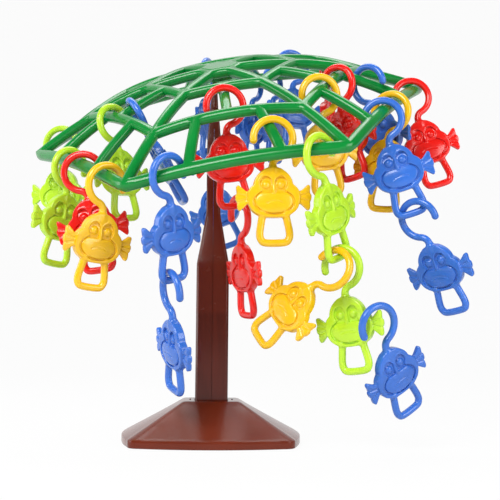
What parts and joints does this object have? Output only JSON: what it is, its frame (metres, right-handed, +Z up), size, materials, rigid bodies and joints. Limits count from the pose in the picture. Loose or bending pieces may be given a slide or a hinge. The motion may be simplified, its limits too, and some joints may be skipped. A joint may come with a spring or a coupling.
{
  "type": "balancing tree game",
  "caption": "Balancing tree game: a square base and tapered trunk with a hexagonal lattice canopy that tips on its point, hung with hook-tailed monkeys.",
  "frame": {"origin": "on the floor plane, under the trunk's axis: the centre of the base's underside", "axes": "+Z up along the trunk; -Y towards the viewer of the picture; +X to the viewer's right"},
  "size_m": [0.3911, 0.32, 0.3738],
  "materials": {
    "brown_plastic": "glossy moulded brown",
    "green_plastic": "glossy moulded leaf green",
    "lime_plastic": "glossy moulded lime green",
    "yellow_plastic": "glossy moulded yellow",
    "red_plastic": "glossy moulded red",
    "blue_plastic": "glossy moulded blue"
  },
  "bodies": {
    "stand": {"base": "brown_plastic", "trunk_left": "brown_plastic", "trunk_right": "brown_plastic"},
    "pivot_tip": {"pivot_tip": "brown_plastic"},
    "hub_socket": {"hub_socket": "green_plastic"},
    "canopy": {"canopy": "green_plastic"},
    "monkey_green_1": {"monkey_green_1": "lime_plastic"},
    "monkey_green_2": {"monkey_green_2": "lime_plastic"},
    "monkey_yellow_1": {"monkey_yellow_1": "yellow_plastic"},
    "monkey_red_1": {"monkey_red_1": "red_plastic"},
    "monkey_green_3": {"monkey_green_3": "lime_plastic"},
    "monkey_blue_1": {"monkey_blue_1": "blue_plastic"},
    "monkey_blue_2": {"monkey_blue_2": "blue_plastic"},
    "monkey_blue_3": {"monkey_blue_3": "blue_plastic"},
    "monkey_blue_4": {"monkey_blue_4": "blue_plastic"},
    "monkey_blue_5": {"monkey_blue_5": "blue_plastic"},
    "monkey_red_2": {"monkey_red_2": "red_plastic"},
    "monkey_red_3": {"monkey_red_3": "red_plastic"},
    "monkey_yellow_2": {"monkey_yellow_2": "yellow_plastic"},
    "monkey_green_4": {"monkey_green_4": "lime_plastic"},
    "monkey_green_5": {"monkey_green_5": "lime_plastic"},
    "monkey_yellow_3": {"monkey_yellow_3": "yellow_plastic"},
    "monkey_blue_12": {"monkey_blue_12": "blue_plastic"},
    "monkey_blue_6": {"monkey_blue_6": "blue_plastic"},
    "monkey_blue_7": {"monkey_blue_7": "blue_plastic"},
    "monkey_yellow_4": {"monkey_yellow_4": "yellow_plastic"},
    "monkey_red_5": {"monkey_red_5": "red_plastic"},
    "monkey_yellow_5": {"monkey_yellow_5": "yellow_plastic"},
    "monkey_red_4": {"monkey_red_4": "red_plastic"},
    "monkey_blue_8": {"monkey_blue_8": "blue_plastic"},
    "monkey_red_6": {"monkey_red_6": "red_plastic"},
    "monkey_blue_9": {"monkey_blue_9": "blue_plastic"},
    "monkey_blue_10": {"monkey_blue_10": "blue_plastic"},
    "monkey_blue_11": {"monkey_blue_11": "blue_plastic"}
  },
  "joints": [
    {"name": "tree_spin", "type": "hinge", "parent": "stand", "child": "pivot_tip", "pos_m": [0, 0, 0.3228], "axis": [0, 0, 1], "continuous": true},
    {"name": "canopy_dip", "type": "hinge", "parent": "pivot_tip", "child": "hub_socket", "pos_m": [0, 0, 0.3228], "axis": [1, 0, 0], "range_deg": [-5, 4]},
    {"name": "canopy_heel", "type": "hinge", "parent": "hub_socket", "child": "canopy", "pos_m": [0, 0, 0.3228], "axis": [0, 1, 0], "range_deg": [-5, 5]},
    {"name": "swing_green_1", "type": "hinge", "parent": "canopy", "child": "monkey_green_1", "pos_m": [-0.14433, 0.05219, 0.2737], "axis": [0.4536, 0.7268, 0.5157], "range_deg": [-38, 38]},
    {"name": "swing_green_2", "type": "hinge", "parent": "canopy", "child": "monkey_green_2", "pos_m": [-0.12309, -0.03612, 0.23926], "axis": [-0.5093, 0.8229, 0.252], "range_deg": [-38, 38]},
    {"name": "swing_yellow_1", "type": "hinge", "parent": "canopy", "child": "monkey_yellow_1", "pos_m": [-0.08537, -0.09437, 0.21761], "axis": [-0.5267, 0.7786, 0.3412], "range_deg": [-38, 38]},
    {"name": "swing_red_1", "type": "hinge", "parent": "canopy", "child": "monkey_red_1", "pos_m": [-0.10899, -0.05851, 0.23186], "axis": [-0.5167, 0.8066, 0.2872], "range_deg": [-20, 17]},
    {"name": "swing_green_3", "type": "hinge", "parent": "canopy", "child": "monkey_green_3", "pos_m": [-0.08624, -0.0309, 0.27869], "axis": [-0.5067, 0.828, 0.2403], "range_deg": [-3, 3]},
    {"name": "swing_blue_1", "type": "hinge", "parent": "canopy", "child": "monkey_blue_1", "pos_m": [-0.06606, -0.03388, 0.28838], "axis": [-0.7602, -0.2854, -0.5836], "range_deg": [-32, 20]},
    {"name": "swing_blue_2", "type": "hinge", "parent": "canopy", "child": "monkey_blue_2", "pos_m": [-0.03519, -0.12103, 0.21625], "axis": [-0.9654, 0.0855, -0.2463], "range_deg": [-3, 38]},
    {"name": "swing_blue_3", "type": "hinge", "parent": "monkey_blue_2", "child": "monkey_blue_3", "pos_m": [-0.03238, -0.09887, 0.13588], "axis": [-0.728, -0.6488, -0.2215], "range_deg": [-38, 35]},
    {"name": "swing_blue_4", "type": "hinge", "parent": "canopy", "child": "monkey_blue_4", "pos_m": [-0.00691, 0.10107, 0.35655], "axis": [0.9736, -0.0717, 0.2167], "range_deg": [-23, 38]},
    {"name": "swing_blue_5", "type": "hinge", "parent": "monkey_blue_4", "child": "monkey_blue_5", "pos_m": [-0.00735, 0.09985, 0.26736], "axis": [0.342, 0.9397, 0], "range_deg": [-38, 38]},
    {"name": "swing_red_2", "type": "hinge", "parent": "canopy", "child": "monkey_red_2", "pos_m": [0.00854, -0.07326, 0.28732], "axis": [0.0701, -0.7825, -0.6187], "range_deg": [-23, 3]},
    {"name": "swing_red_3", "type": "hinge", "parent": "monkey_red_2", "child": "monkey_red_3", "pos_m": [0.02165, -0.06494, 0.19977], "axis": [-0.9739, -0.1794, -0.1388], "range_deg": [-15, 29]},
    {"name": "swing_yellow_2", "type": "hinge", "parent": "canopy", "child": "monkey_yellow_2", "pos_m": [0.04631, -0.11421, 0.25075], "axis": [-0.315, 0.5846, 0.7477], "range_deg": [-9, 20]},
    {"name": "swing_green_4", "type": "hinge", "parent": "canopy", "child": "monkey_green_4", "pos_m": [0.08158, -0.12715, 0.23682], "axis": [-0.9948, 0.0178, -0.1004], "range_deg": [-1, 38]},
    {"name": "swing_green_5", "type": "hinge", "parent": "monkey_green_4", "child": "monkey_green_5", "pos_m": [0.10252, -0.10063, 0.15612], "axis": [-0.6771, -0.6518, -0.3415], "range_deg": [-15, 38]},
    {"name": "swing_yellow_3", "type": "hinge", "parent": "monkey_green_4", "child": "monkey_yellow_3", "pos_m": [0.09392, -0.10891, 0.15178], "axis": [-0.6771, -0.6518, -0.3415], "range_deg": [-6, 15]},
    {"name": "swing_blue_12", "type": "hinge", "parent": "monkey_green_5", "child": "monkey_blue_12", "pos_m": [0.12595, -0.11263, 0.10822], "axis": [-0.5713, 0.4997, -0.6511], "range_deg": [-9, 29]},
    {"name": "swing_blue_6", "type": "hinge", "parent": "canopy", "child": "monkey_blue_6", "pos_m": [0.1402, -0.07042, 0.27878], "axis": [-0.4658, -0.7531, -0.4647], "range_deg": [-6, 32]},
    {"name": "swing_blue_7", "type": "hinge", "parent": "monkey_blue_6", "child": "monkey_blue_7", "pos_m": [0.16985, -0.07188, 0.19598], "axis": [-0.9403, 0.143, -0.3088], "range_deg": [-6, 9]},
    {"name": "swing_yellow_4", "type": "hinge", "parent": "canopy", "child": "monkey_yellow_4", "pos_m": [0.15016, -0.05428, 0.28838], "axis": [-0.4715, -0.7657, -0.4374], "range_deg": [-9, 6]},
    {"name": "swing_red_5", "type": "hinge", "parent": "canopy", "child": "monkey_red_5", "pos_m": [0.17646, -0.01134, 0.31054], "axis": [-0.4836, -0.7935, -0.3694], "range_deg": [-19, 15]},
    {"name": "swing_yellow_5", "type": "hinge", "parent": "canopy", "child": "monkey_yellow_5", "pos_m": [0.08758, -0.06838, 0.29683], "axis": [-0.4512, -0.7218, -0.5248], "range_deg": [-38, 9]},
    {"name": "swing_red_4", "type": "hinge", "parent": "canopy", "child": "monkey_red_4", "pos_m": [0.10587, -0.03884, 0.31525], "axis": [-0.4767, -0.7774, -0.4105], "range_deg": [-38, 6]},
    {"name": "swing_blue_8", "type": "hinge", "parent": "canopy", "child": "monkey_blue_8", "pos_m": [0.13413, -0.03192, 0.31218], "axis": [-0.9321, 0.0897, 0.3509], "range_deg": [-7, 6]},
    {"name": "swing_red_6", "type": "hinge", "parent": "canopy", "child": "monkey_red_6", "pos_m": [0.11608, 0.11822, 0.35941], "axis": [0.499, -0.8413, -0.2078], "range_deg": [-3, 38]},
    {"name": "swing_blue_9", "type": "hinge", "parent": "canopy", "child": "monkey_blue_9", "pos_m": [0.07641, 0.08108, 0.36202], "axis": [0.4834, -0.8628, -0.1479], "range_deg": [-38, 12]},
    {"name": "swing_blue_10", "type": "hinge", "parent": "canopy", "child": "monkey_blue_10", "pos_m": [0.0402, 0.15268, 0.36059], "axis": [0.9894, -0.0363, 0.1403], "range_deg": [-12, 15]},
    {"name": "swing_blue_11", "type": "hinge", "parent": "canopy", "child": "monkey_blue_11", "pos_m": [0.06132, 0.15204, 0.3633], "axis": [0.9931, -0.0244, 0.1146], "range_deg": [-38, 12]}
  ]
}
